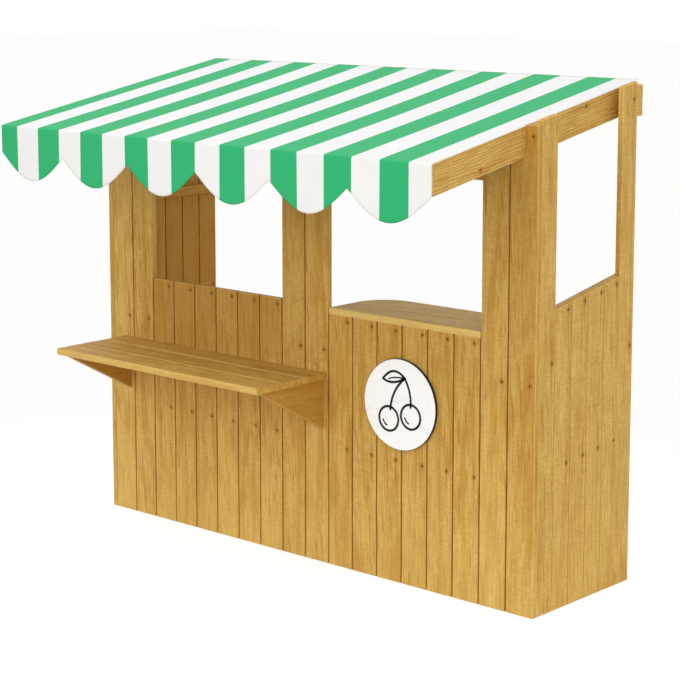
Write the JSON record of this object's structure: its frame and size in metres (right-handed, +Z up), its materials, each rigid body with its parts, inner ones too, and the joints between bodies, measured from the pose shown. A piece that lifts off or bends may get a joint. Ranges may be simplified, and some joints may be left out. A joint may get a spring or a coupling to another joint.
{
  "type": "wooden market stall",
  "caption": "Small open-backed wooden market stall with boarded piers, a serving hatch over a shelf, a counter, a round sign and a striped scalloped awning.",
  "frame": {"origin": "on the ground, under the middle of the stall's outline", "axes": "+X to the right along the front boards, +Y to the open back, +Z up"},
  "size_m": [1.773, 0.939, 1.4675],
  "materials": {
    "wood": "satin",
    "awning": "matte",
    "sign_edge": "satin",
    "sign_face": "satin"
  },
  "bodies": {
    "root": {"left_pier_boards": "wood", "middle_pier_boards": "wood", "right_pier_boards": "wood", "hatch_apron_boards": "wood", "counter_apron_boards": "wood", "left_wall_boards": "wood", "right_wall_boards": "wood", "front_left_post": "wood", "middle_post": "wood", "front_right_post": "wood", "rear_right_post": "wood", "hatch_top_rail": "wood", "hatch_bottom_rail": "wood", "counter_top_rail": "wood", "counter_bottom_rail": "wood", "left_wall_middle_rail": "wood", "left_wall_bottom_rail": "wood", "right_wall_sill_rail": "wood", "right_wall_bottom_rail": "wood", "front_header": "wood", "back_top_rail": "wood", "left_rafter": "wood", "right_rafter": "wood", "awning_front_batten": "wood", "shelf_front_plank": "wood", "shelf_inner_planks": "wood", "shelf_left_bracket": "wood", "shelf_right_bracket": "wood", "counter_top": "wood", "counter_end_cleat": "wood", "awning_canopy": "awning", "awning_valance": "awning", "sign_back_plate": "sign_edge", "sign_face": "sign_face"}
  },
  "joints": []
}
